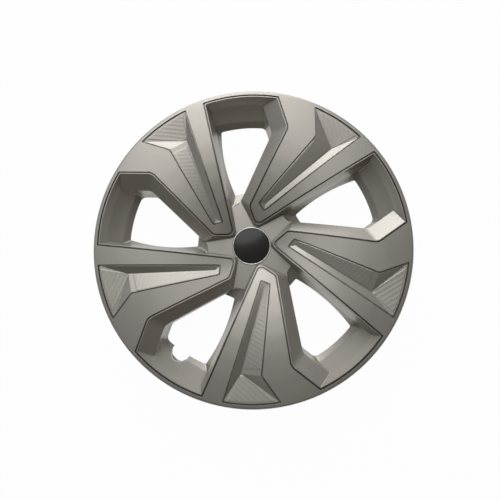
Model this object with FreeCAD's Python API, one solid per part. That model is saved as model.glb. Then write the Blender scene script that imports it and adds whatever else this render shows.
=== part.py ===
import FreeCAD, Part
import math
import os

Vector = FreeCAD.Vector
UP = Vector(0, 0, 1)
FORWARD = 1

# Wheel cover, millimetres. It lies on its legs with the face up and the wheel's axis on Z.
# Angles are in degrees from a spoke's own axis, counter-clockwise seen from the front.

# Whole cover
COVER_DIAMETER = 405.0
COVER_HEIGHT = 58.0
WALL = 2.5
SPOKES = 5
FIRST_SPOKE_AZIMUTH = -90.0

# Face: a shallow dish that falls from the rim to the hub
CROWN_RADIUS = 500.0
CROWN_INSET = 12.5
RIM_BAND = 6.5
LIP_DEPTH = 12.0
LIP_ROUND = 3.2
HUB_FLOOR_DEPTH = 31.0
LEAST_OVER_HUB = 2.0

# Straight stretches that the dish and the lip's round are made of
CROWN_STEPS = 8
LIP_STEPS = 4

# Spoke outline on the face
STRAIGHT_EDGE_ANGLE = -17.3
HOOK_EDGE_ANGLE = 25.6
KINK_FROM_RIM = 37.0
KINK_ANGLE = 18.3
TIP_NEAR_RADIUS = 28.2
TIP_NEAR_ANGLE = 22.3
TIP_FAR_RADIUS = 51.7
TIP_FAR_ANGLE = 38.5

# Sides of the spokes, set off sideways from that outline
EDGE_BEAD = 2.0
SHOULDER_DEPTH = 12.0
STRAIGHT_SHOULDER = 7.0
TIP_SHOULDER = 3.0
TIP_FAR_SHOULDER = 6.0
LONG_SHOULDER = 18.0
LONG_TIP_SHOULDER = 14.8
HOOK_SHOULDER = 21.0
WALL_DRAFT = 0.8
STRAIGHT_BACK = 13.2
STRAIGHT_BACK_BOW = 4.5
LONG_BACK = 19.0
LONG_TIP_BACK = 15.8
HOOK_BACK = 24.0

# Barrel wall round the windows
WINDOW_BACK_DEPTH = 38.0
BARREL_FRONT_INSET = 2.0
BARREL_SHOULDER_INSET = 8.0
BARREL_FLOOR_INSET = 20.0
BARREL_BACK_INSET = 28.0
WINDOW_END_RADIUS = 62.0
WINDOW_END_BACK_RADIUS = 74.0
WINDOW_END_ROLL = 3.0

# Corner radii
KINK_ROUND = 12.0
TIP_ROUND = 7.0
TIP_FAR_ROUND = 7.5
RIM_CORNER_ROUND = 1.5
STRAIGHT_BACK_ROUND = 3.0
HOOK_BACK_ROUND = 8.0
WINDOW_END_ROUND = 2.2

# Foot of the shoulders over the hub floor, small step at cut edges, and how far cuts run past
FOOT_HEIGHT = 1.0
EDGE_STEP = 0.4
LEAST_ROUND = 0.5
CLEAR = 5.0

# Line grooves
GROOVE_WIDTH = 1.9
GROOVE_DEPTH = 1.4

# Faceted inlay of a spoke
INLAY_STRAIGHT_ANGLE = -9.6
INLAY_HOOK_ANGLE = 10.8
INLAY_KINK_FROM_RIM = 33.0
INLAY_KINK_ANGLE = 4.9
INLAY_TIP_NEAR_RADIUS = 48.7
INLAY_TIP_NEAR_ANGLE = 15.5
INLAY_TIP_FAR_RADIUS = 56.8
INLAY_TIP_FAR_ANGLE = 25.4
INLAY_VALLEY_FROM_RIM = 34.0
INLAY_VALLEY_ANGLE = -4.1
INLAY_DEPTH = 6.0
INLAY_TIP_DEPTH = 2.2
INLAY_TIP_RUN = 6.0
INLAY_VALLEY_END = 1.0
INLAY_ROUND = 2.5
INLAY_KINK_ROUND = 7.0

# Valve notch
VALVE_AZIMUTH = 236.5
VALVE_NOTCH_RADIUS = 12.3

# Skirt, snap legs and wire ring behind the face
SKIRT_INSET = 26.0
LEG_ANGLES = (-10.0, 16.0)
LEG_WIDTH = 18.0
LEG_ROOT = 6.0
HUB_RIB_RADIUS = 46.0
LEDGE_REACH = 4.0
LEDGE_THICKNESS = 2.2
WIRE_DIAMETER = 2.6
WIRE_CLEARANCE = 0.2
WIRE_ABOVE_FEET = 11.0
VALVE_BEND_REACH = 6.0
VALVE_BEND_RADIUS = 20.0
VALVE_BEND_SIDE_RADIUS = 10.0

# Badge
BADGE_DIAMETER = 51.0
BADGE_RECESS_DEPTH = 1.4
BADGE_CLEARANCE = 0.3
BADGE_BACKING_THICKNESS = 1.0
BADGE_RING_WIDTH = 1.3
BADGE_RING_HEIGHT = 2.2
BADGE_EDGE_HEIGHT = 0.8
BADGE_DOME = 1.2

# Values worked out from the sizes above
OUTER_RADIUS = COVER_DIAMETER / 2
RIM_LINE = OUTER_RADIUS - RIM_BAND
CROWN_APEX = OUTER_RADIUS - CROWN_INSET
HUB_FLOOR = COVER_HEIGHT - HUB_FLOOR_DEPTH
WINDOW_BACK = COVER_HEIGHT - WINDOW_BACK_DEPTH
SKIRT_RADIUS = OUTER_RADIUS - SKIRT_INSET
STEP = 360.0 / SPOKES
WIRE_RADIUS = SKIRT_RADIUS + WIRE_CLEARANCE + WIRE_DIAMETER / 2


# Points and lines in plan


def place(radius, angle):
    """Plan point on the first spoke, at an angle from its axis."""
    turn = math.radians(FIRST_SPOKE_AZIMUTH + angle)
    return Vector(radius * math.cos(turn), radius * math.sin(turn), 0)


def turned(point, angle):
    """Plan point turned about the wheel's axis."""
    turn = math.radians(angle)
    x = point.x * math.cos(turn) - point.y * math.sin(turn)
    y = point.x * math.sin(turn) + point.y * math.cos(turn)
    return Vector(x, y, 0)


def shifted(start, end, start_distance, end_distance):
    """Line through two points, moved to its left by a distance at each end."""
    along = (end - start).normalize()
    side = Vector(-along.y, along.x, 0)
    return start + side * start_distance, end + side * end_distance


def meet(first, second):
    """Crossing point of two lines."""
    p, q = first
    r, s = second
    d = q - p
    e = s - r
    share = ((r - p).x * e.y - (r - p).y * e.x) / (d.x * e.y - d.y * e.x)
    return p + d * share


def meet_circle(line, radius, near):
    """Crossing point of a line and a circle about the axis, the one nearest to a point."""
    p, q = line
    along = (q - p).normalize()
    middle = p - along * p.dot(along)
    half = math.sqrt(radius ** 2 - middle.Length ** 2)
    ends = (middle + along * half, middle - along * half)
    return min(ends, key=lambda end: (end - near).Length)


def crown(point, drop=0.0):
    """Height of the face over a plan point, above the hub floor, lowered by a drop."""
    inward = max(CROWN_APEX - point.Length, 0)
    dished = COVER_HEIGHT - CROWN_RADIUS + math.sqrt(CROWN_RADIUS ** 2 - inward ** 2)
    return max(dished, HUB_FLOOR + LEAST_OVER_HUB) - drop


# Outlines with rounded corners


class Outline:
    """Closed plan outline of straight or bowed sides and arcs about the axis, with round corners."""

    def __init__(self):
        self.corners = []
        self.rounds = []
        self.sides = []

    def add(self, corner, radius, side):
        """Corner, its radius, and the side that leaves it: a bow in millimetres or "arc"."""
        self.corners.append(corner)
        self.rounds.append(radius)
        self.sides.append(side)

    def tangent(self, index, other, side):
        """Direction in which a side leaves a corner."""
        corner = self.corners[index]
        chord = (other - corner).normalize()
        if side != "arc":
            return chord
        around = Vector(-corner.y, corner.x, 0).normalize()
        return around if around.dot(chord) > 0 else around * -1

    def moved_along(self, index, other, side, distance):
        """Point on a side at a distance from its corner."""
        corner = self.corners[index]
        if side != "arc":
            return corner + (other - corner).normalize() * distance
        sign = 1 if self.tangent(index, other, side).cross(corner).z < 0 else -1
        return turned(corner, sign * math.degrees(distance / corner.Length))

    def stretches(self):
        """Start, middle and end of each corner arc and each side, in order."""
        count = len(self.corners)
        rounded = []
        for i, corner in enumerate(self.corners):
            before = self.corners[i - 1]
            after = self.corners[(i + 1) % count]
            back = self.tangent(i, before, self.sides[i - 1])
            ahead = self.tangent(i, after, self.sides[i])
            half = back.getAngle(ahead) / 2
            run = self.rounds[i] / math.tan(half)
            start = self.moved_along(i, before, self.sides[i - 1], run)
            end = self.moved_along(i, after, self.sides[i], run)
            middle = corner + ((start + end) * 0.5 - corner) * (1 / (1 + math.sin(half)))
            rounded.append((start, middle, end))
        found = []
        for i in range(count):
            found.append(rounded[i])
            start = rounded[i][2]
            end = rounded[(i + 1) % count][0]
            middle = (start + end) * 0.5
            if self.sides[i] == "arc":
                middle = middle.normalize() * start.Length
            elif self.sides[i]:
                along = (end - start).normalize()
                middle = middle + Vector(-along.y, along.x, 0) * self.sides[i]
            found.append((start, middle, end))
        return found

    def edges(self, height):
        """Edges of the outline, lifted to a height that depends on the place."""
        return [lifted_edge(stretch, height) for stretch in self.stretches()]

    def prism(self, bottom, top):
        """Upright solid inside the outline."""
        face = Part.Face(Part.Wire(self.edges(lambda p: bottom)))
        return face.extrude(UP * (top - bottom))


def lifted_edge(stretch, height):
    """Arc through three plan points at their heights, or a line where they are in line."""
    start, middle, end = (Vector(p.x, p.y, height(p)) for p in stretch)
    bend = (middle - start).cross(end - middle).Length
    if bend < 1e-6 * (end - start).Length ** 2:
        return Part.LineSegment(start, end).toShape()
    return Part.Arc(start, middle, end).toShape()


def closed_solid(faces):
    """Solid inside a closed set of faces."""
    shell = Part.makeShell(faces)
    shell.sewShape()
    solid = Part.makeSolid(shell)
    if solid.Volume < 0:
        solid.reverse()
    return solid


def wall_between(upper, lower):
    """Face from one edge to another: flat where they lie in one plane, ruled elsewhere."""
    ends = [(edge.firstVertex(True).Point, edge.lastVertex(True).Point) for edge in (upper, lower)]
    joins = [Part.LineSegment(a, b).toShape() for a, b in zip(*ends)]
    loop = Part.Wire(Part.__sortEdges__([upper, joins[1], lower, joins[0]]))
    if loop.findPlane():
        return Part.Face(loop)
    return Part.makeRuledSurface(upper, lower, FORWARD)


def stacked(levels):
    """Solid between flat end outlines, with a wall from each level's edges to the next's."""
    faces = [Part.Face(Part.Wire(levels[0])), Part.Face(Part.Wire(levels[-1]))]
    for upper, lower in zip(levels, levels[1:]):
        faces += [wall_between(a, b) for a, b in zip(upper, lower)]
    return closed_solid(faces)


def around_axis(shape):
    """Copies of a shape, one at each spoke."""
    copies = []
    for k in range(SPOKES):
        copy = shape.copy()
        copy.rotate(Vector(), UP, STEP * k)
        copies.append(copy)
    return copies


def revolved(points):
    """Solid of revolution of a closed section given as (radius, height) pairs."""
    corners = [Vector(r, 0, z) for r, z in points]
    face = Part.Face(Part.makePolygon(corners + corners[:1]))
    return face.revolve(Vector(), UP, 360)


def ring(inner, outer, bottom, top):
    """Plain ring about the axis."""
    return revolved([(inner, bottom), (outer, bottom), (outer, top), (inner, top)])


# Spokes and windows


def spoke_corners():
    """Corners of a spoke's outline on the face, from the rim round its tip and back."""
    return [
        place(RIM_LINE, STRAIGHT_EDGE_ANGLE),
        place(TIP_NEAR_RADIUS, TIP_NEAR_ANGLE),
        place(TIP_FAR_RADIUS, TIP_FAR_ANGLE),
        place(RIM_LINE - KINK_FROM_RIM, KINK_ANGLE),
        place(RIM_LINE, HOOK_EDGE_ANGLE),
    ]


def spoke_sides(distances, grow):
    """A spoke's four sides, moved outwards by a distance at each end and back in by a growth."""
    corners = spoke_corners()
    sides = zip(corners, corners[1:], distances)
    return [shifted(start, end, first - grow, last - grow) for start, end, (first, last) in sides]


def even(*distances):
    """The same distance at both ends of each side."""
    return [(distance, distance) for distance in distances]


SHOULDER_SIDES = [
    (STRAIGHT_SHOULDER, TIP_SHOULDER),
    (TIP_SHOULDER, TIP_FAR_SHOULDER),
    (LONG_TIP_SHOULDER, LONG_SHOULDER),
    (HOOK_SHOULDER, HOOK_SHOULDER),
]
FLOOR_SIDES = [(first + WALL_DRAFT, last + WALL_DRAFT) for first, last in SHOULDER_SIDES]
BACK_SIDES = [
    (STRAIGHT_BACK, STRAIGHT_BACK),
    (TIP_FAR_SHOULDER, TIP_FAR_SHOULDER),
    (LONG_TIP_BACK, LONG_BACK),
    (HOOK_BACK, HOOK_BACK),
]


def star_outline(distances, barrel, grow=0.0):
    """Everything inside the rim line that isn't spoke, grown into the spokes by a distance."""
    corners = spoke_corners()
    straight, tip, long, hook = spoke_sides(distances, grow)
    start = meet_circle(straight, barrel + grow, corners[0])
    end = meet_circle(hook, barrel + grow, corners[-1])
    outline = Outline()
    for k in range(SPOKES):
        outline.add(turned(start, STEP * k), RIM_CORNER_ROUND, 0)
        outline.add(turned(meet(straight, tip), STEP * k), TIP_ROUND, 0)
        outline.add(turned(meet(tip, long), STEP * k), TIP_FAR_ROUND, 0)
        outline.add(turned(meet(long, hook), STEP * k), KINK_ROUND, 0)
        outline.add(turned(end, STEP * k), RIM_CORNER_ROUND, "arc")
    return outline


def window_outline(distances, barrel, inner_end, grow, rounds, bow):
    """One window, between the kinked side of the first spoke and the straight side of the next."""
    corners = spoke_corners()
    straight, tip, long, hook = spoke_sides(distances, grow)
    straight = [turned(point, STEP) for point in straight]
    kink = meet(long, hook)
    hook_round, straight_round = rounds
    outline = Outline()
    outline.add(meet_circle(hook, barrel + grow, corners[-1]), hook_round, "arc")
    outline.add(meet_circle(straight, barrel + grow, turned(corners[0], STEP)), straight_round, -bow)
    outline.add(meet_circle(straight, inner_end - grow, kink), WINDOW_END_ROUND, 0)
    outline.add(meet_circle(long, inner_end - grow, kink), WINDOW_END_ROUND, 0)
    outline.add(kink, KINK_ROUND, 0)
    return outline


def star_cutter(grow):
    """Space over the hub floor and between the spokes, with the sloping shoulders."""
    floor = HUB_FLOOR - grow
    front = star_outline(even(*[EDGE_BEAD] * 4), RIM_LINE - BARREL_FRONT_INSET, grow)
    shoulder = star_outline(SHOULDER_SIDES, RIM_LINE - BARREL_SHOULDER_INSET, grow)
    foot = star_outline(FLOOR_SIDES, RIM_LINE - BARREL_FLOOR_INSET, grow)
    return stacked([
        front.edges(lambda p: COVER_HEIGHT + CLEAR),
        front.edges(lambda p: crown(p, grow + EDGE_STEP)),
        shoulder.edges(lambda p: max(crown(p, SHOULDER_DEPTH + grow), floor + FOOT_HEIGHT)),
        foot.edges(lambda p: floor),
    ])


def window_cutter(grow):
    """Way through one window, from the hub floor's level to past the back edges."""
    floor = HUB_FLOOR - grow
    share = WINDOW_END_ROLL / (floor - WINDOW_BACK)
    roll_sides = [
        (high[0] + (low[0] - high[0]) * share, high[1] + (low[1] - high[1]) * share)
        for high, low in zip(FLOOR_SIDES, BACK_SIDES)
    ]
    roll_inset = BARREL_FLOOR_INSET + (BARREL_BACK_INSET - BARREL_FLOOR_INSET) * share
    front_rounds = (RIM_CORNER_ROUND, RIM_CORNER_ROUND)
    back_rounds = (HOOK_BACK_ROUND, STRAIGHT_BACK_ROUND)
    roll_rounds = [front + (back - front) * share for front, back in zip(front_rounds, back_rounds)]
    rolled = window_outline(FLOOR_SIDES, RIM_LINE - BARREL_FLOOR_INSET, WINDOW_END_RADIUS - WINDOW_END_ROLL,
                            grow, front_rounds, 0)
    upper = window_outline(roll_sides, RIM_LINE - roll_inset, WINDOW_END_RADIUS, grow, roll_rounds,
                           STRAIGHT_BACK_BOW * share)
    lower = window_outline(BACK_SIDES, RIM_LINE - BARREL_BACK_INSET, WINDOW_END_BACK_RADIUS, grow,
                           back_rounds, STRAIGHT_BACK_BOW)
    return stacked([
        rolled.edges(lambda p: floor + FOOT_HEIGHT / 2),
        rolled.edges(lambda p: floor),
        upper.edges(lambda p: floor - WINDOW_END_ROLL),
        lower.edges(lambda p: WINDOW_BACK),
        lower.edges(lambda p: WINDOW_BACK - CLEAR),
    ])


# Inlay of a spoke


def inlay_corners(grow):
    """Corners of the inlay, from its tip along the straight side to the rim and back."""
    tip_near = place(INLAY_TIP_NEAR_RADIUS, INLAY_TIP_NEAR_ANGLE)
    straight_end = place(RIM_LINE, INLAY_STRAIGHT_ANGLE)
    hook_end = place(RIM_LINE, INLAY_HOOK_ANGLE)
    kink = place(RIM_LINE - INLAY_KINK_FROM_RIM, INLAY_KINK_ANGLE)
    tip_far = place(INLAY_TIP_FAR_RADIUS, INLAY_TIP_FAR_ANGLE)
    straight = shifted(tip_near, straight_end, -grow, -grow)
    hook = shifted(hook_end, kink, -grow, -grow)
    long = shifted(kink, tip_far, -grow, -grow)
    tip = shifted(tip_far, tip_near, -grow, -grow)
    return [
        meet(tip, straight),
        meet_circle(straight, RIM_LINE + grow, straight_end),
        meet_circle(hook, RIM_LINE + grow, hook_end),
        meet(hook, long),
        meet(long, tip),
    ]


def inlay_outline(grow):
    """Rounded outline of the inlay."""
    outline = Outline()
    rounds = (INLAY_ROUND, RIM_CORNER_ROUND, RIM_CORNER_ROUND, INLAY_KINK_ROUND, INLAY_ROUND)
    sides = (0, "arc", 0, 0, 0)
    for corner, radius, side in zip(inlay_corners(grow), rounds, sides):
        outline.add(corner, radius, side)
    return outline


def halfway(a, b, bent=False):
    """Start, middle and end of a side, straight or bent about the axis."""
    middle = (a + b) * 0.5
    if bent:
        middle = middle.normalize() * a.Length
    return a, middle, b


def inlay_cutter():
    """Recess of three facets that fall from the middle of the line groove to a valley."""
    top = COVER_HEIGHT + CLEAR
    tip_near, straight_end, hook_end, kink, tip_far = inlay_corners(0)
    deep = place(RIM_LINE - INLAY_VALLEY_FROM_RIM, INLAY_VALLEY_ANGLE)
    deep_end = deep + (hook_end - straight_end).normalize() * INLAY_VALLEY_END
    tip_middle = (tip_near + tip_far) * 0.5
    valley_start = tip_middle + (deep - tip_middle).normalize() * INLAY_TIP_RUN
    valley_run = (deep - valley_start).Length

    def on_face(point):
        return crown(point, EDGE_STEP)

    def in_valley(point):
        share = min((point - valley_start).Length / valley_run, 1)
        return crown(point, INLAY_TIP_DEPTH + (INLAY_DEPTH - INLAY_TIP_DEPTH) * share)

    valley = lifted_edge(halfway(valley_start, deep), in_valley)
    bottom = lifted_edge(halfway(deep, deep_end), lambda p: in_valley(deep))
    sides = [
        (halfway(tip_near, straight_end), valley),
        (halfway(straight_end, hook_end, bent=True), bottom),
        (halfway(kink, hook_end), bottom),
        (halfway(tip_far, kink), valley),
    ]
    faces = []
    top_edges = []
    for stretch, low_edge in sides:
        edge = lifted_edge(stretch, on_face)
        top_edge = lifted_edge(stretch, lambda p: top)
        faces.append(wall_between(edge, low_edge))
        faces.append(wall_between(edge, top_edge))
        top_edges.append(top_edge)
    near = Vector(tip_near.x, tip_near.y, on_face(tip_near))
    far = Vector(tip_far.x, tip_far.y, on_face(tip_far))
    low = Vector(valley_start.x, valley_start.y, in_valley(valley_start))
    tip_edge = Part.LineSegment(near, far).toShape()
    tip_top = lifted_edge(halfway(tip_near, tip_far), lambda p: top)
    faces.append(Part.Face(Part.makePolygon([near, far, low, near])))
    faces.append(wall_between(tip_edge, tip_top))
    faces.append(Part.Face(Part.Wire(Part.__sortEdges__(top_edges + [tip_top]))))
    return closed_solid(faces)


def inlay_back_cutter():
    """Room that keeps the wall behind an inlay whole."""
    prism = inlay_outline(WALL).prism(HUB_FLOOR, COVER_HEIGHT + CLEAR)
    return prism.cut(under_crown(INLAY_DEPTH + WALL, WINDOW_BACK))


# Moulded cover


def crown_section(drop):
    """Points of the dished face from the axis outwards, lowered by a drop, for short straight stretches."""
    radii = [CROWN_APEX * i / CROWN_STEPS for i in range(CROWN_STEPS + 1)]
    return [(radius, crown(Vector(radius, 0, 0), drop)) for radius in radii]


def under_crown(drop, bottom):
    """Everything under the dished face lowered by a drop, out past the rim."""
    past = OUTER_RADIUS + CLEAR
    return revolved([(0, bottom)] + crown_section(drop) + [(past, COVER_HEIGHT - drop), (past, bottom)])


def crown_solid(grow, bottom, lip_steps):
    """Body under the dished face and the rounded lip, shrunk by a wall."""
    outer = OUTER_RADIUS - grow
    front = COVER_HEIGHT - grow
    lip = max(LIP_ROUND - grow, LEAST_ROUND)
    section = [(0, bottom)] + crown_section(grow)
    for i in range(lip_steps + 1):
        turn = math.radians(90 * i / lip_steps)
        section.append((outer - lip + lip * math.sin(turn), front - lip + lip * math.cos(turn)))
    section.append((outer, bottom))
    return revolved(section)


def spoked_solid(grow, bottom, inlay, lip_steps):
    """Rim, spokes and hub with the windows and inlays cut, shrunk by a wall."""
    cutters = [star_cutter(grow)] + around_axis(window_cutter(grow)) + around_axis(inlay)
    return crown_solid(grow, bottom, lip_steps).cut(cutters)


def groove_cutters():
    """Line grooves beside the windows and round each inlay, at one depth under the face."""
    half = GROOVE_WIDTH / 2
    bottom = HUB_FLOOR
    top = COVER_HEIGHT + CLEAR
    under = under_crown(GROOVE_DEPTH, bottom)
    wide = star_outline(even(*[-half] * 4), RIM_LINE + half).prism(bottom, top)
    narrow = star_outline(even(*[half] * 4), RIM_LINE - half).prism(bottom, top)
    inlay_band = inlay_outline(half).prism(bottom, top).cut(inlay_outline(-half).prism(bottom, top))
    return [wide.cut([narrow, under])] + around_axis(inlay_band.cut(under))


def leg():
    """One snap leg with the two ledges that hold the wire, at the first spoke's axis."""
    inner = SKIRT_RADIUS - WALL
    reach = SKIRT_RADIUS + LEDGE_REACH
    half_gap = WIRE_DIAMETER / 2 + WIRE_CLEARANCE
    low = WIRE_ABOVE_FEET - half_gap
    high = WIRE_ABOVE_FEET + half_gap
    section = [
        (inner, 0),
        (SKIRT_RADIUS, 0),
        (SKIRT_RADIUS, low - LEDGE_THICKNESS - LEDGE_REACH),
        (reach, low - LEDGE_THICKNESS),
        (reach, low),
        (SKIRT_RADIUS, low),
        (SKIRT_RADIUS, high),
        (reach, high),
        (reach, high + LEDGE_THICKNESS),
        (SKIRT_RADIUS, high + LEDGE_THICKNESS + LEDGE_REACH),
        (SKIRT_RADIUS, WINDOW_BACK + LEG_ROOT),
        (inner, WINDOW_BACK + LEG_ROOT),
    ]
    corners = [Vector(r, 0, z) for r, z in section]
    face = Part.Face(Part.makePolygon(corners + corners[:1]))
    sweep = math.degrees(LEG_WIDTH / SKIRT_RADIUS)
    solid = face.revolve(Vector(), UP, sweep)
    solid.rotate(Vector(), UP, FIRST_SPOKE_AZIMUTH - sweep / 2)
    return solid


def legs():
    """All snap legs, in pairs behind the spokes."""
    found = []
    for angle in LEG_ANGLES:
        turned_leg = leg()
        turned_leg.rotate(Vector(), UP, angle)
        found += around_axis(turned_leg)
    return found


def wheel_cover():
    """The moulded cover: face, skirt, ribs, legs, badge recess and valve notch."""
    body = spoked_solid(0, WINDOW_BACK, inlay_cutter(), LIP_STEPS)
    hollow = spoked_solid(WALL, WINDOW_BACK - CLEAR / 2, inlay_back_cutter(), 1)
    skirt = ring(SKIRT_RADIUS - WALL, SKIRT_RADIUS, WINDOW_BACK, COVER_HEIGHT).common(body)
    hub_rib = ring(HUB_RIB_RADIUS - WALL, HUB_RIB_RADIUS, WINDOW_BACK, HUB_FLOOR).common(body)
    recess_radius = BADGE_DIAMETER / 2 + BADGE_CLEARANCE
    recess_floor = HUB_FLOOR - BADGE_RECESS_DEPTH
    boss = Part.makeCylinder(recess_radius + WALL, BADGE_RECESS_DEPTH + WALL,
                             Vector(0, 0, recess_floor - WALL))
    under_lip = ring(OUTER_RADIUS - 2 * WALL, OUTER_RADIUS + CLEAR, WINDOW_BACK - CLEAR,
                     COVER_HEIGHT - LIP_DEPTH)
    recess = Part.makeCylinder(recess_radius, COVER_HEIGHT, Vector(0, 0, recess_floor))
    notch_turn = math.radians(VALVE_AZIMUTH)
    notch_place = RIM_LINE - BARREL_BACK_INSET
    notch = Part.makeCylinder(
        VALVE_NOTCH_RADIUS,
        COVER_HEIGHT,
        Vector(notch_place * math.cos(notch_turn), notch_place * math.sin(notch_turn), 0),
    )
    shell = body.cut([hollow, under_lip])
    shell = shell.fuse([skirt, hub_rib, boss] + legs())
    shell = shell.cut(groove_cutters() + [recess, notch])
    return shell.removeSplitter()


# Wire ring


def retaining_ring():
    """Spring wire in the legs, with a smooth bend that clears the valve."""
    turn = math.radians(VALVE_AZIMUTH)
    outwards = Vector(math.cos(turn), math.sin(turn), 0)
    level = UP * WIRE_ABOVE_FEET
    bend_middle = WIRE_RADIUS + VALVE_BEND_REACH - VALVE_BEND_RADIUS
    side_middle = WIRE_RADIUS + VALVE_BEND_SIDE_RADIUS
    between = VALVE_BEND_RADIUS + VALVE_BEND_SIDE_RADIUS
    opening = math.acos((bend_middle ** 2 + side_middle ** 2 - between ** 2) / (2 * bend_middle * side_middle))
    bend_centre = outwards * bend_middle
    joints = []
    for sign in (-1, 1):
        aside = turned(outwards, math.degrees(sign * opening))
        side_centre = aside * side_middle
        on_ring = aside * WIRE_RADIUS
        on_bend = bend_centre + (side_centre - bend_centre).normalize() * VALVE_BEND_RADIUS
        inward = ((on_ring + on_bend) * 0.5 - side_centre).normalize()
        joints.append((on_ring, side_centre + inward * VALVE_BEND_SIDE_RADIUS, on_bend))
    first, last = joints
    bend_top = outwards * (WIRE_RADIUS + VALVE_BEND_REACH)
    arcs = [
        first,
        (first[2], bend_top, last[2]),
        last[::-1],
        (last[0], outwards * -WIRE_RADIUS, first[0]),
    ]
    path = Part.Wire([Part.Arc(*(point + level for point in arc)).toShape() for arc in arcs])
    solids = []
    for edge in path.Edges:
        begin = edge.FirstParameter
        section = Part.Circle(edge.valueAt(begin), edge.tangentAt(begin), WIRE_DIAMETER / 2)
        solids.append(Part.Wire(edge).makePipeShell([Part.Wire(section.toShape())], True, True))
    return solids[0].fuse(solids[1:]).removeSplitter()


# Badge


def badge_backing():
    """Thin metal disc with a raised rim, on the floor of the hub's recess."""
    bottom = HUB_FLOOR - BADGE_RECESS_DEPTH
    radius = BADGE_DIAMETER / 2
    inner = radius - BADGE_RING_WIDTH
    floor = bottom + BADGE_BACKING_THICKNESS
    top = bottom + BADGE_RING_HEIGHT
    return revolved([(0, bottom), (radius, bottom), (radius, top), (inner, top), (inner, floor), (0, floor)])


def badge_face():
    """Domed disc that fills the rim of its backing."""
    bottom = HUB_FLOOR - BADGE_RECESS_DEPTH + BADGE_BACKING_THICKNESS
    radius = BADGE_DIAMETER / 2 - BADGE_RING_WIDTH
    edge = bottom + BADGE_EDGE_HEIGHT
    middle = Vector(0, 0, edge + BADGE_DOME)
    near_edge = Vector(radius, 0, edge)
    dome = Part.Arc(Vector(-radius, 0, edge), middle, near_edge)
    half_dome = Part.Arc(middle, dome.value(dome.parameter(middle) / 2 + dome.LastParameter / 2), near_edge)
    sides = Part.makePolygon([near_edge, Vector(radius, 0, bottom), Vector(0, 0, bottom), middle])
    wire = Part.Wire([half_dome.toShape()] + sides.Edges)
    return Part.Face(wire).revolve(Vector(), UP, 360)


PIECES = {
    "wheel_cover": wheel_cover,
    "retaining_ring": retaining_ring,
    "badge_backing": badge_backing,
    "badge_face": badge_face,
}


os.makedirs("parts", exist_ok=True)
for name, make in PIECES.items():
    shape = make()
    print(name, shape.isValid(), len(shape.Solids), len(shape.Faces), round(shape.Volume))
    shape.exportStep(f"parts/{name}.step")
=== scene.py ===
"""Finish of a five-spoke wheel cover: painted moulding, ribbed inlays, wire ring and bare badge."""

import math

import bmesh
import bpy
from mathutils import Matrix, Vector


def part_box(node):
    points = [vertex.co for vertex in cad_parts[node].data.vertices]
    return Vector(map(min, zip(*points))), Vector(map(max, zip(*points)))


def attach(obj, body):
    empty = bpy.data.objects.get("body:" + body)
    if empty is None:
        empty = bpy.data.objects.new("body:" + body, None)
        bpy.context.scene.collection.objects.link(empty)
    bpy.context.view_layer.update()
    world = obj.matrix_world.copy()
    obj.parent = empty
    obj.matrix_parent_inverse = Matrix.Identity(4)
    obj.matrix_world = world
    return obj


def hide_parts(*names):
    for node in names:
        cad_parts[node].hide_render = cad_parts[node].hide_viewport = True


bl_info = {
    "name": "Wheel cover finish",
    "version": (1, 0, 0),
    "blender": (4, 5, 0),
    "location": "View3D > Sidebar > Wheel cover",
    "description": "Dresses the packed solids of a wheel cover with paint, ribs, wire and a badge",
    "category": "Object",
}

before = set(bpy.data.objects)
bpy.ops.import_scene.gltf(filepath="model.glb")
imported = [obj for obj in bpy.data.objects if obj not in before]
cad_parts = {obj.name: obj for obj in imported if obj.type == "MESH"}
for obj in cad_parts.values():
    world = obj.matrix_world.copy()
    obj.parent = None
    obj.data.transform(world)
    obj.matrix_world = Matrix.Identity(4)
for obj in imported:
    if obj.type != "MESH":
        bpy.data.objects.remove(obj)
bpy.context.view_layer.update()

MM = 0.001
FULL_TURN = 2 * math.pi
ORIGIN = Vector((0.0, 0.0, 0.0))
AXIS = Vector((0.0, 0.0, 1.0))

# Face of the cover: it falls from the rim to the hub on a large radius
SPOKES = 5
FIRST_SPOKE = math.radians(-90.0)
OUTER_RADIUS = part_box("wheel_cover")[1].x
COVER_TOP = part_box("wheel_cover")[1].z
CROWN_RADIUS = 500.0 * MM
CROWN_INSET = 12.5 * MM
CROWN_APEX = OUTER_RADIUS - CROWN_INSET
RIM_BAND = 6.5 * MM
RIM_LINE = OUTER_RADIUS - RIM_BAND

# Corners of a spoke's inlay, as distances from the axis and angles from the spoke
INLAY_STRAIGHT_ANGLE = math.radians(-9.6)
INLAY_HOOK_ANGLE = math.radians(10.8)
INLAY_KINK_FROM_RIM = 33.0 * MM
INLAY_KINK_RADIUS = RIM_LINE - INLAY_KINK_FROM_RIM
INLAY_KINK_ANGLE = math.radians(4.9)
INLAY_TIP_NEAR = (48.7 * MM, math.radians(15.5))
INLAY_TIP_FAR = (56.8 * MM, math.radians(25.4))
VALLEY_FROM_RIM = 34.0 * MM
VALLEY_RADIUS = RIM_LINE - VALLEY_FROM_RIM
VALLEY_ANGLE = math.radians(-4.1)
VALLEY_END = 1.0 * MM
VALLEY_TIP_RUN = 6.0 * MM
VALLEY_DEPTH = 6.0 * MM
VALLEY_TIP_DEPTH = 2.2 * MM
FACET_TOP_DROP = 0.4 * MM

# Ribbed skins: margin, fading edge and slope step as shares of a facet, and columns and rows of the grids
PANEL_MARGIN = 0.03
PANEL_FADE = 0.05
SLOPE_STEP = PANEL_FADE / 4
LONG_PANEL_GRID = (150, 20)
RIM_PANEL_GRID = (80, 40)

# Badge: steps in a rounded corner, and the share of the face's height at which its dome starts
ROUND_STEPS = 6
DOME_SHOULDER = 0.4

# Fine grain: detail of its two noises, scale of the broad one, and depth of the relief
GRAIN_FINE_DETAIL = 2.0
GRAIN_BROAD_DETAIL = 3.0
GRAIN_BROAD_SCALE = 14.0
RELIEF_DEPTH = 0.02 * MM

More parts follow.
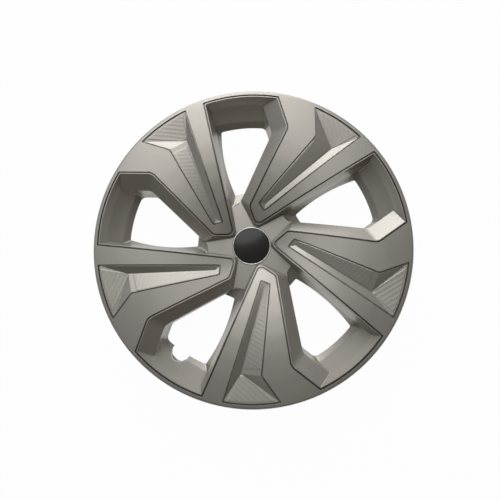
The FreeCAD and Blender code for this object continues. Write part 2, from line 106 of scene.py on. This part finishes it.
# Painted shade in grooves and hollows, which darkens the paint's colour: how far it looks for a wall, and
# the openness at which it is full and at which it ends
GROOVE_SHADE_REACH = 3.0 * MM
GROOVE_SHADE_FULL = 0.5
GROOVE_SHADE_NONE = 0.92

# Camera: width of its sensor in millimetres, and the nearest distance that it sees
SENSOR_WIDTH = 36.0
CLIP_START = 10.0 * MM

# Floor and lights in metres, and the side on which the surroundings are bright
FLOOR_REACH = 6.0
KEY_PLACE = Vector((-0.26, 0.80, 1.45))
KEY_SIZE = 1.25
LOW_PLACE = Vector((-0.15, 1.50, 0.72))
LOW_SIZE = 1.4
SKY_SIDE = Vector((-0.35, 0.85, 0.40)).normalized()
SKY_DARK_END = -0.3
SKY_BRIGHT_END = 0.95


class CoverSizes(bpy.types.PropertyGroup):
    """How the moulded cover and the wire are smoothed."""

    merge_distance: bpy.props.FloatProperty(
        name="Merge distance", description="Corners nearer than this become one",
        default=0.004 * MM, unit="LENGTH", precision=6)
    sharp_angle: bpy.props.FloatProperty(
        name="Sharp angle", description="Edges that turn more than this stay crisp",
        default=math.radians(24.0), subtype="ANGLE")
    soft_edge: bpy.props.FloatProperty(
        name="Soft edge", description="Radius to which paint rounds the crisp edges",
        default=0.35 * MM, unit="LENGTH", precision=5)


class RibSizes(bpy.types.PropertyGroup):
    """Shallow ribs moulded into the inlays' facets."""

    pitch: bpy.props.FloatProperty(
        name="Rib pitch", description="Distance from one rib to the next",
        default=5.2 * MM, unit="LENGTH", precision=5)
    height: bpy.props.FloatProperty(
        name="Rib height", description="Height of a rib over its groove",
        default=0.07 * MM, unit="LENGTH", precision=5)
    lift: bpy.props.FloatProperty(
        name="Lift", description="Height of the ribbed skin over the facet under it",
        default=0.14 * MM, unit="LENGTH", precision=5)
    main_lean: bpy.props.FloatProperty(
        name="Lean on the long facet", description="Angle of the ribs from the spoke's axis",
        default=math.radians(62.0), subtype="ANGLE")
    rim_lean: bpy.props.FloatProperty(
        name="Lean on the rim facet", description="Angle of the ribs from the spoke's axis",
        default=math.radians(50.0), subtype="ANGLE")


class BadgeSizes(bpy.types.PropertyGroup):
    """Badge at the hub."""

    rim_round: bpy.props.FloatProperty(
        name="Rim round", description="Radius on the edges of the badge's metal rim",
        default=0.45 * MM, unit="LENGTH", precision=5)
    turns: bpy.props.IntProperty(
        name="Segments", description="Number of segments round the badge", default=128, min=24)
    dome_steps: bpy.props.IntProperty(
        name="Dome steps", description="Number of steps from the badge's middle to its edge",
        default=12, min=3)


class CoverFinish(bpy.types.PropertyGroup):
    """Colours of the finishes, and the colour of painted shade in the grooves."""

    paint: bpy.props.FloatVectorProperty(
        name="Silver paint", description="Colour of the metallic paint",
        default=(0.40, 0.378, 0.340), subtype="COLOR", size=3, min=0.0, max=1.0)
    # Painted shade: the dark colour that the paint turns to in grooves and hollows
    painted_groove_shade: bpy.props.FloatVectorProperty(
        name="Groove shade", description="Colour of the shade painted in the grooves",
        default=(0.045, 0.04, 0.032), subtype="COLOR", size=3, min=0.0, max=1.0)
    wire: bpy.props.FloatVectorProperty(
        name="Spring wire", description="Colour of the wire ring",
        default=(0.46, 0.45, 0.43), subtype="COLOR", size=3, min=0.0, max=1.0)
    badge_rim: bpy.props.FloatVectorProperty(
        name="Badge rim", description="Colour of the badge's metal rim",
        default=(0.74, 0.73, 0.70), subtype="COLOR", size=3, min=0.0, max=1.0)
    badge_face: bpy.props.FloatVectorProperty(
        name="Badge face", description="Colour of the badge's dark face",
        default=(0.016, 0.014, 0.012), subtype="COLOR", size=3, min=0.0, max=1.0)


class StageSettings(bpy.types.PropertyGroup):
    """Camera, floor and lights."""

    distance: bpy.props.FloatProperty(
        name="Camera distance", description="From the camera to the plane of the rim",
        default=454.6 * MM, unit="LENGTH")
    aside: bpy.props.FloatVectorProperty(
        name="Aside", description="Offset of the wheel's axis in the picture, right and up",
        default=(0.78 * MM, 8.82 * MM), subtype="TRANSLATION", size=2)
    tilt: bpy.props.FloatVectorProperty(
        name="Tilt", description="Turn of the cover about the picture's level and upright axes",
        default=(math.radians(-6.05), math.radians(-2.43)), subtype="EULER", size=2)
    lens: bpy.props.FloatProperty(
        name="Lens", description="Focal length on a 36 mm sensor, in millimetres",
        default=26.0)
    floor: bpy.props.FloatVectorProperty(
        name="Floor", description="Colour of the floor", default=(0.86, 0.86, 0.86),
        subtype="COLOR", size=3, min=0.0, max=1.0)
    floor_glow: bpy.props.FloatProperty(
        name="Floor white", description="Share of plain white in the floor as it is seen",
        default=0.975, subtype="FACTOR", min=0.0, max=1.0)
    key_power: bpy.props.FloatProperty(
        name="Key light", description="Power of the large light above the picture",
        default=8.0, unit="POWER")
    low_power: bpy.props.FloatProperty(
        name="Low light", description="Power of the low light beyond the top edge",
        default=15.0, unit="POWER")
    sky_bright: bpy.props.FloatVectorProperty(
        name="Bright sky", description="Colour of the surroundings on the lit side",
        default=(0.36, 0.37, 0.39), subtype="COLOR", size=3, min=0.0, max=1.0)
    sky_dark: bpy.props.FloatVectorProperty(
        name="Dark sky", description="Colour of the surroundings on the far side",
        default=(0.09, 0.076, 0.058), subtype="COLOR", size=3, min=0.0, max=1.0)


# Meshes and pieces


def piece_from(bm, name, material):
    """Object of a finished bmesh, on the cover's body and in its material slot."""
    mesh = bpy.data.meshes.new(name)
    bm.to_mesh(mesh)
    bm.free()
    piece = bpy.data.objects.new(name, mesh)
    bpy.context.scene.collection.objects.link(piece)
    mesh.materials.append(material)
    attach(piece, "root")
    return piece


def shade_smooth(bm):
    """Smooth every face, with the edges that turn sharply kept crisp."""
    sharp_angle = bpy.context.scene.cover_sizes.sharp_angle
    for face in bm.faces:
        face.smooth = True
    for edge in bm.edges:
        edge.smooth = edge.calc_face_angle(0.0) < sharp_angle


def smoothed_copy(node, name, material):
    """Copy of a solid with shared corners, smooth except at its crisp edges."""
    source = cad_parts[node].data.copy()
    if "custom_normal" in source.attributes:
        source.attributes.remove(source.attributes["custom_normal"])
    bm = bmesh.new()
    bm.from_mesh(source)
    bpy.data.meshes.remove(source)
    bmesh.ops.remove_doubles(bm, verts=bm.verts, dist=bpy.context.scene.cover_sizes.merge_distance)
    shade_smooth(bm)
    piece = piece_from(bm, name, material)
    even_shade = piece.modifiers.new("even_shade", "WEIGHTED_NORMAL")
    even_shade.keep_sharp = True
    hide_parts(node)
    return piece


def spun_piece(profile, name, material, node):
    """Solid of revolution of an open profile whose ends lie on the axis."""
    sizes = bpy.context.scene.badge_sizes
    bm = bmesh.new()
    corners = [bm.verts.new(point) for point in profile]
    sides = [bm.edges.new(pair) for pair in zip(corners, corners[1:])]
    bmesh.ops.spin(bm, geom=corners + sides, cent=ORIGIN, axis=AXIS, dvec=ORIGIN, angle=FULL_TURN,
                   steps=sizes.turns, use_merge=True, use_duplicate=False)
    bmesh.ops.remove_doubles(bm, verts=bm.verts, dist=bpy.context.scene.cover_sizes.merge_distance)
    bmesh.ops.recalc_face_normals(bm, faces=bm.faces)
    shade_smooth(bm)
    piece = piece_from(bm, name, material)
    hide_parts(node)
    return piece


def corner_round(radius, height, rounding, start, end):
    """Points of a rounded corner in a profile, between two angles about its middle."""
    points = []
    for i in range(ROUND_STEPS + 1):
        turn = start + (end - start) * i / ROUND_STEPS
        points.append((radius + rounding * math.cos(turn), 0.0, height + rounding * math.sin(turn)))
    return points


# Inlays


def face_height(point):
    """Height of the cover's face over a plan point."""
    inward = max(CROWN_APEX - point.xy.length, 0.0)
    return COVER_TOP - CROWN_RADIUS + math.sqrt(CROWN_RADIUS ** 2 - inward ** 2)


def on_spoke(radius, angle):
    """Plan point on the first spoke."""
    turn = FIRST_SPOKE + angle
    return Vector((radius * math.cos(turn), radius * math.sin(turn), 0.0))


def lifted(point, drop):
    """Point under the cover's face by a drop."""
    return Vector((point.x, point.y, face_height(point) - drop))


def bow(start, middle, end):
    """Smooth curve through three points."""

    def at(share):
        first = (1 - share) * (1 - 2 * share)
        second = 4 * share * (1 - share)
        third = share * (2 * share - 1)
        return start * first + middle * second + end * third

    return at


def facet_edges():
    """Upper and lower curves of the long facet and of the rim facet."""
    tip_near = on_spoke(*INLAY_TIP_NEAR)
    tip_far = on_spoke(*INLAY_TIP_FAR)
    kink = on_spoke(INLAY_KINK_RADIUS, INLAY_KINK_ANGLE)
    straight_end = on_spoke(RIM_LINE, INLAY_STRAIGHT_ANGLE)
    hook_end = on_spoke(RIM_LINE, INLAY_HOOK_ANGLE)
    rim_middle = on_spoke(RIM_LINE, (INLAY_STRAIGHT_ANGLE + INLAY_HOOK_ANGLE) / 2)
    deep = on_spoke(VALLEY_RADIUS, VALLEY_ANGLE)
    tip_middle = (tip_near + tip_far) / 2
    valley_start = tip_middle + (deep - tip_middle).normalized() * VALLEY_TIP_RUN
    mean_depth = (VALLEY_DEPTH + VALLEY_TIP_DEPTH) / 2
    deep_point = lifted(deep, VALLEY_DEPTH)
    deep_end = deep_point + (hook_end - straight_end).normalized() * VALLEY_END
    valley = bow(lifted(valley_start, VALLEY_TIP_DEPTH), lifted((valley_start + deep) / 2, mean_depth),
                 deep_point)
    long_edge = bow(*[lifted(p, FACET_TOP_DROP) for p in (tip_far, (tip_far + kink) / 2, kink)])
    rim_edge = bow(*[lifted(p, FACET_TOP_DROP) for p in (straight_end, rim_middle, hook_end)])
    bottom = bow(deep_point, (deep_point + deep_end) / 2, deep_end)
    return (long_edge, valley), (rim_edge, bottom)


def smooth_step(share):
    """Rise from 0 to 1 with no kink."""
    share = min(max(share, 0.0), 1.0)
    return share * share * (3 - 2 * share)


def ribbed_panel(bm, upper, lower, lean, grid):
    """Skin over one facet, with ribs that lean from the spoke's axis and fade at its edges."""
    sizes = bpy.context.scene.rib_sizes
    columns, rows = grid
    turn = FIRST_SPOKE + lean + math.pi / 2
    across = Vector((math.cos(turn), math.sin(turn), 0.0))

    def facet(u, v):
        return upper(u).lerp(lower(u), v)

    made = bmesh.ops.create_grid(bm, x_segments=columns, y_segments=rows, size=1.0)
    for vert in made["verts"]:
        along = (vert.co.x + 1) / 2
        down = (vert.co.y + 1) / 2
        u = PANEL_MARGIN + along * (1 - 2 * PANEL_MARGIN)
        v = PANEL_MARGIN + down * (1 - 2 * PANEL_MARGIN)
        place = facet(u, v)
        slope_u = facet(u + SLOPE_STEP, v) - place
        slope_v = facet(u, v + SLOPE_STEP) - place
        normal = slope_u.cross(slope_v).normalized()
        if normal.z < 0:
            normal = -normal
        edge = min(along, 1 - along, down, 1 - down)
        wave = 0.5 + 0.5 * math.cos(FULL_TURN * place.dot(across) / sizes.pitch)
        rise = sizes.lift + sizes.height * wave
        shown = smooth_step(edge / PANEL_FADE)
        vert.co = place + normal * (rise * shown - sizes.lift * (1 - shown))


# Finishes


def node_at(tree, kind, place, **values):
    """Node of a kind, with its own settings."""
    node = tree.nodes.new(kind)
    node.location = place
    for name, value in values.items():
        setattr(node, name, value)
    return node


def grain_group():
    """Fine grain: a colour that varies a little, a roughness and a height."""
    found = bpy.data.node_groups.get("Fine grain")
    if found:
        return found
    group = bpy.data.node_groups.new("Fine grain", "ShaderNodeTree")
    sockets = group.interface
    sockets.new_socket("Color", in_out="INPUT", socket_type="NodeSocketColor")
    for name in ("Scale", "Contrast", "Roughness", "Unevenness"):
        sockets.new_socket(name, in_out="INPUT", socket_type="NodeSocketFloat")
    sockets.new_socket("Color", in_out="OUTPUT", socket_type="NodeSocketColor")
    for name in ("Roughness", "Height"):
        sockets.new_socket(name, in_out="OUTPUT", socket_type="NodeSocketFloat")
    given = node_at(group, "NodeGroupInput", (-900, 0))
    out = node_at(group, "NodeGroupOutput", (600, 0))
    place = node_at(group, "ShaderNodeTexCoord", (-900, -300))
    fine = node_at(group, "ShaderNodeTexNoise", (-600, 200))
    broad = node_at(group, "ShaderNodeTexNoise", (-600, -200))
    fine.inputs["Detail"].default_value = GRAIN_FINE_DETAIL
    broad.inputs["Scale"].default_value = GRAIN_BROAD_SCALE
    broad.inputs["Detail"].default_value = GRAIN_BROAD_DETAIL
    link = group.links.new
    link(place.outputs["Object"], fine.inputs["Vector"])
    link(place.outputs["Object"], broad.inputs["Vector"])
    link(given.outputs["Scale"], fine.inputs["Scale"])
    both = node_at(group, "ShaderNodeMath", (-350, 150), operation="ADD")
    link(fine.outputs["Fac"], both.inputs[0])
    link(broad.outputs["Fac"], both.inputs[1])
    centred = node_at(group, "ShaderNodeMath", (-180, 150), operation="SUBTRACT")
    centred.inputs[1].default_value = 1.0
    link(both.outputs[0], centred.inputs[0])
    scaled = node_at(group, "ShaderNodeMath", (0, 150), operation="MULTIPLY_ADD")
    scaled.inputs[2].default_value = 1.0
    link(centred.outputs[0], scaled.inputs[0])
    link(given.outputs["Contrast"], scaled.inputs[1])
    tinted = node_at(group, "ShaderNodeMix", (250, 200), data_type="RGBA", blend_type="MULTIPLY")
    tinted.inputs["Factor"].default_value = 1.0
    link(given.outputs["Color"], tinted.inputs["A"])
    link(scaled.outputs[0], tinted.inputs["B"])
    rough = node_at(group, "ShaderNodeMath", (0, -150), operation="MULTIPLY_ADD")
    link(centred.outputs[0], rough.inputs[0])
    link(given.outputs["Unevenness"], rough.inputs[1])
    link(given.outputs["Roughness"], rough.inputs[2])
    link(tinted.outputs["Result"], out.inputs["Color"])
    link(rough.outputs[0], out.inputs["Roughness"])
    link(fine.outputs["Fac"], out.inputs["Height"])
    return group


def grained_material(name, colour, scale, contrast, roughness, unevenness, bump):
    """Material whose colour, roughness and fine relief come from the grain group."""
    material = bpy.data.materials.new(name)
    material.use_nodes = True
    tree = material.node_tree
    shader = tree.nodes["Principled BSDF"]
    grain = node_at(tree, "ShaderNodeGroup", (-500, 0), node_tree=grain_group())
    grain.inputs["Color"].default_value = (*colour, 1.0)
    grain.inputs["Scale"].default_value = scale
    grain.inputs["Contrast"].default_value = contrast
    grain.inputs["Roughness"].default_value = roughness
    grain.inputs["Unevenness"].default_value = unevenness
    relief = node_at(tree, "ShaderNodeBump", (-250, -250))
    relief.inputs["Strength"].default_value = bump
    relief.inputs["Distance"].default_value = RELIEF_DEPTH
    tree.links.new(grain.outputs["Color"], shader.inputs["Base Color"])
    tree.links.new(grain.outputs["Roughness"], shader.inputs["Roughness"])
    tree.links.new(grain.outputs["Height"], relief.inputs["Height"])
    tree.links.new(relief.outputs["Normal"], shader.inputs["Normal"])
    return material, shader, relief


def silver_paint():
    """Warm silver metallic paint, with flakes, a thin clear coat, softly rounded edges and painted shade
    that darkens its colour in grooves and hollows.
    """
    found = bpy.data.materials.get("warm_silver")
    if found:
        return found
    colour = bpy.context.scene.cover_finish.paint
    material, shader, relief = grained_material(
        "warm_silver", colour, scale=1600.0, contrast=0.16, roughness=0.40, unevenness=0.06, bump=0.2)
    shader.inputs["Metallic"].default_value = 0.62
    shader.inputs["Coat Weight"].default_value = 0.12
    shader.inputs["Coat Roughness"].default_value = 0.3
    tree = material.node_tree
    rounded = node_at(tree, "ShaderNodeBevel", (-500, -400), samples=6)
    rounded.inputs["Radius"].default_value = bpy.context.scene.cover_sizes.soft_edge
    tree.links.new(rounded.outputs["Normal"], relief.inputs["Normal"])
    # Painted shade: where ambient occlusion finds walls close by, the base colour is darkened towards the
    # groove shade colour
    hollow = node_at(tree, "ShaderNodeAmbientOcclusion", (-700, 300), samples=8)
    hollow.inputs["Distance"].default_value = GROOVE_SHADE_REACH
    open_share = node_at(tree, "ShaderNodeMapRange", (-500, 300), interpolation_type="SMOOTHSTEP")
    open_share.inputs["From Min"].default_value = GROOVE_SHADE_FULL
    open_share.inputs["From Max"].default_value = GROOVE_SHADE_NONE
    groove_shaded = node_at(tree, "ShaderNodeMix", (-200, 300), data_type="RGBA")
    groove_shaded.inputs["A"].default_value = (*bpy.context.scene.cover_finish.painted_groove_shade, 1.0)
    unshaded_colour = shader.inputs["Base Color"].links[0].from_socket
    tree.links.new(hollow.outputs["AO"], open_share.inputs["Value"])
    tree.links.new(open_share.outputs["Result"], groove_shaded.inputs["Factor"])
    tree.links.new(unshaded_colour, groove_shaded.inputs["B"])
    tree.links.new(groove_shaded.outputs["Result"], shader.inputs["Base Color"])
    return material


def spring_wire():
    """Drawn steel wire."""
    colour = bpy.context.scene.cover_finish.wire
    material, shader, _ = grained_material(
        "drawn_steel", colour, scale=900.0, contrast=0.2, roughness=0.34, unevenness=0.2, bump=0.3)
    shader.inputs["Metallic"].default_value = 1.0
    return material


def badge_metal():
    """Bright metal of the badge's rim."""
    colour = bpy.context.scene.cover_finish.badge_rim
    material, shader, _ = grained_material(
        "bright_metal", colour, scale=2200.0, contrast=0.1, roughness=0.28, unevenness=0.1, bump=0.15)
    shader.inputs["Metallic"].default_value = 1.0
    return material


def badge_black():
    """Gloss black face under a clear coat, with a trace of dust."""
    colour = bpy.context.scene.cover_finish.badge_face
    material, shader, _ = grained_material(
        "gloss_black", colour, scale=700.0, contrast=0.5, roughness=0.22, unevenness=0.12, bump=0.05)
    shader.inputs["Coat Weight"].default_value = 0.2
    shader.inputs["Coat Roughness"].default_value = 0.08
    shader.inputs["Specular IOR Level"].default_value = 0.3
    return material


# Operators


class COVER_OT_moulding(bpy.types.Operator):
    """Dress the moulded cover in silver paint"""

    bl_idname = "wheel_cover.moulding"
    bl_label = "Moulded cover"

    def execute(self, context):
        smoothed_copy("wheel_cover", "painted_cover", silver_paint())
        return {"FINISHED"}


class COVER_OT_ribs(bpy.types.Operator):
    """Add the ribbed facets of the inlays"""

    bl_idname = "wheel_cover.ribs"
    bl_label = "Inlay ribs"

    def execute(self, context):
        sizes = context.scene.rib_sizes
        (long_edge, valley), (rim_edge, bottom) = facet_edges()
        bm = bmesh.new()
        ribbed_panel(bm, long_edge, valley, sizes.main_lean, LONG_PANEL_GRID)
        ribbed_panel(bm, rim_edge, bottom, sizes.rim_lean, RIM_PANEL_GRID)
        first = bm.verts[:] + bm.edges[:] + bm.faces[:]
        for k in range(1, SPOKES):
            copy = bmesh.ops.duplicate(bm, geom=first)
            verts = [item for item in copy["geom"] if isinstance(item, bmesh.types.BMVert)]
            bmesh.ops.rotate(bm, verts=verts, cent=ORIGIN,
                             matrix=Matrix.Rotation(FULL_TURN * k / SPOKES, 3, "Z"))
        for face in bm.faces:
            face.smooth = True
            if face.normal.z < 0:
                face.normal_flip()
        piece_from(bm, "inlay_ribs", silver_paint())
        return {"FINISHED"}


class COVER_OT_wire(bpy.types.Operator):
    """Dress the wire ring in drawn steel"""

    bl_idname = "wheel_cover.wire"
    bl_label = "Wire ring"

    def execute(self, context):
        smoothed_copy("retaining_ring", "steel_wire", spring_wire())
        return {"FINISHED"}


class COVER_OT_badge(bpy.types.Operator):
    """Build the bare badge with its metal rim"""

    bl_idname = "wheel_cover.badge"
    bl_label = "Badge"

    def execute(self, context):
        sizes = context.scene.badge_sizes
        low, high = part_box("badge_backing")
        face_low, face_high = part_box("badge_face")
        rounding = sizes.rim_round
        outer = high.x - rounding
        inner = face_high.x + rounding
        top = high.z - rounding
        rim = [(0.0, 0.0, low.z), (high.x, 0.0, low.z)]
        rim += corner_round(outer, top, rounding, 0.0, math.pi / 2)
        rim += corner_round(inner, top, rounding, math.pi / 2, math.pi)
        rim += [(face_high.x, 0.0, face_low.z), (0.0, 0.0, face_low.z)]
        spun_piece(rim, "badge_rim", badge_metal(), "badge_backing")
        shoulder = face_low.z + (face_high.z - face_low.z) * DOME_SHOULDER
        dome = [(0.0, 0.0, face_low.z), (face_high.x, 0.0, face_low.z)]
        for i in range(sizes.dome_steps + 1):
            share = 1 - i / sizes.dome_steps
            height = shoulder + (face_high.z - shoulder) * (1 - share * share)
            dome.append((face_high.x * share, 0.0, height))
        spun_piece(dome, "badge_dome", badge_black(), "badge_face")
        return {"FINISHED"}


class COVER_OT_stage(bpy.types.Operator):
    """Set the floor, the lights and the camera"""

    bl_idname = "wheel_cover.stage"
    bl_label = "Stage"

    def execute(self, context):
        settings = context.scene.stage_settings
        context.scene.view_settings.view_transform = "Standard"
        self.add_floor(context, settings)
        self.add_sky(context, settings)
        self.add_light(context, "key_light", KEY_PLACE, KEY_SIZE, settings.key_power)
        self.add_light(context, "low_light", LOW_PLACE, LOW_SIZE, settings.low_power)
        self.add_camera(context, settings)
        return {"FINISHED"}

    def add_floor(self, context, settings):
        """Pale floor that looks white and keeps the cover's shadow."""
        bm = bmesh.new()
        bmesh.ops.create_grid(bm, x_segments=1, y_segments=1, size=FLOOR_REACH)
        mesh = bpy.data.meshes.new("floor")
        bm.to_mesh(mesh)
        bm.free()
        floor = bpy.data.objects.new("floor", mesh)
        context.scene.collection.objects.link(floor)
        material = bpy.data.materials.new("pale_floor")
        material.use_nodes = True
        tree = material.node_tree
        tree.nodes.remove(tree.nodes["Principled BSDF"])
        matt = node_at(tree, "ShaderNodeBsdfDiffuse", (-300, 100))
        matt.inputs["Color"].default_value = (*settings.floor, 1.0)
        white = node_at(tree, "ShaderNodeEmission", (-300, -100))
        white.inputs["Strength"].default_value = 1.0
        ray = node_at(tree, "ShaderNodeLightPath", (-900, 300))
        seen = node_at(tree, "ShaderNodeMath", (-650, 300), operation="MAXIMUM")
        shown = node_at(tree, "ShaderNodeMath", (-450, 300), operation="MAXIMUM")
        share = node_at(tree, "ShaderNodeMath", (-250, 300), operation="MULTIPLY")
        share.inputs[1].default_value = settings.floor_glow
        mixed = node_at(tree, "ShaderNodeMixShader", (0, 0))
        link = tree.links.new
        link(ray.outputs["Is Camera Ray"], seen.inputs[0])
        link(ray.outputs["Is Glossy Ray"], seen.inputs[1])
        link(seen.outputs[0], shown.inputs[0])
        link(ray.outputs["Is Transmission Ray"], shown.inputs[1])
        link(shown.outputs[0], share.inputs[0])
        link(share.outputs[0], mixed.inputs["Fac"])
        link(matt.outputs[0], mixed.inputs[1])
        link(white.outputs[0], mixed.inputs[2])
        link(mixed.outputs[0], tree.nodes["Material Output"].inputs["Surface"])
        mesh.materials.append(material)

    def add_sky(self, context, settings):
        """Surroundings that are cool and bright above the picture, and warm and dark below it."""
        world = bpy.data.worlds.new("studio")
        context.scene.world = world
        world.use_nodes = True
        tree = world.node_tree
        backdrop = tree.nodes["Background"]
        place = node_at(tree, "ShaderNodeTexCoord", (-900, 0))
        facing = node_at(tree, "ShaderNodeVectorMath", (-650, 0), operation="DOT_PRODUCT")
        facing.inputs[1].default_value = SKY_SIDE
        level = node_at(tree, "ShaderNodeMapRange", (-450, 0), interpolation_type="SMOOTHSTEP")
        level.inputs["From Min"].default_value = SKY_DARK_END
        level.inputs["From Max"].default_value = SKY_BRIGHT_END
        sky = node_at(tree, "ShaderNodeMix", (-220, 0), data_type="RGBA")
        sky.inputs["A"].default_value = (*settings.sky_dark, 1.0)
        sky.inputs["B"].default_value = (*settings.sky_bright, 1.0)
        tree.links.new(place.outputs["Generated"], facing.inputs[0])
        tree.links.new(facing.outputs["Value"], level.inputs["Value"])
        tree.links.new(level.outputs["Result"], sky.inputs["Factor"])
        tree.links.new(sky.outputs["Result"], backdrop.inputs["Color"])

    def add_light(self, context, name, place, size, power):
        """Large soft light that points at the cover."""
        data = bpy.data.lights.new(name, "AREA")
        data.shape = "DISK"
        data.size = size
        data.energy = power
        light = bpy.data.objects.new(name, data)
        light.location = place
        light.rotation_euler = (ORIGIN - place).to_track_quat("-Z", "Y").to_euler()
        context.scene.collection.objects.link(light)

    def add_camera(self, context, settings):
        """Camera at the photograph's viewing angle."""
        level_turn, upright_turn = settings.tilt
        turn = Matrix.Rotation(upright_turn, 3, "Y") @ Matrix.Rotation(level_turn, 3, "X")
        right, up = settings.aside
        back = turn.transposed()
        data = bpy.data.cameras.new("camera")
        data.lens = settings.lens
        data.sensor_width = SENSOR_WIDTH
        data.clip_start = CLIP_START
        camera = bpy.data.objects.new("camera", data)
        camera.matrix_world = back.to_4x4()
        camera.location = back @ Vector((-right, -up, settings.distance)) + AXIS * COVER_TOP
        context.scene.collection.objects.link(camera)
        context.scene.camera = camera


class COVER_PT_panel(bpy.types.Panel):
    """Sidebar panel of the wheel cover"""

    bl_idname = "COVER_PT_panel"
    bl_label = "Wheel cover"
    bl_space_type = "VIEW_3D"
    bl_region_type = "UI"
    bl_category = "Wheel cover"

    def draw(self, context):
        for operator in OPERATORS:
            self.layout.operator(operator.bl_idname)


GROUPS = {
    "cover_sizes": CoverSizes,
    "rib_sizes": RibSizes,
    "badge_sizes": BadgeSizes,
    "cover_finish": CoverFinish,
    "stage_settings": StageSettings,
}
OPERATORS = (COVER_OT_moulding, COVER_OT_ribs, COVER_OT_wire, COVER_OT_badge, COVER_OT_stage)
CLASSES = (*GROUPS.values(), *OPERATORS, COVER_PT_panel)


def register():
    """Register the classes and hang the settings on the scene."""
    for item in CLASSES:
        bpy.utils.register_class(item)
    for name, group in GROUPS.items():
        setattr(bpy.types.Scene, name, bpy.props.PointerProperty(type=group))


def unregister():
    """Take the settings and the classes away again."""
    for name in GROUPS:
        delattr(bpy.types.Scene, name)
    for item in reversed(CLASSES):
        bpy.utils.unregister_class(item)


def main():
    """Build every piece and the stage."""
    register()
    bpy.ops.wheel_cover.moulding()
    bpy.ops.wheel_cover.ribs()
    bpy.ops.wheel_cover.wire()
    bpy.ops.wheel_cover.badge()
    bpy.ops.wheel_cover.stage()


if __name__ == "__main__":
    main()
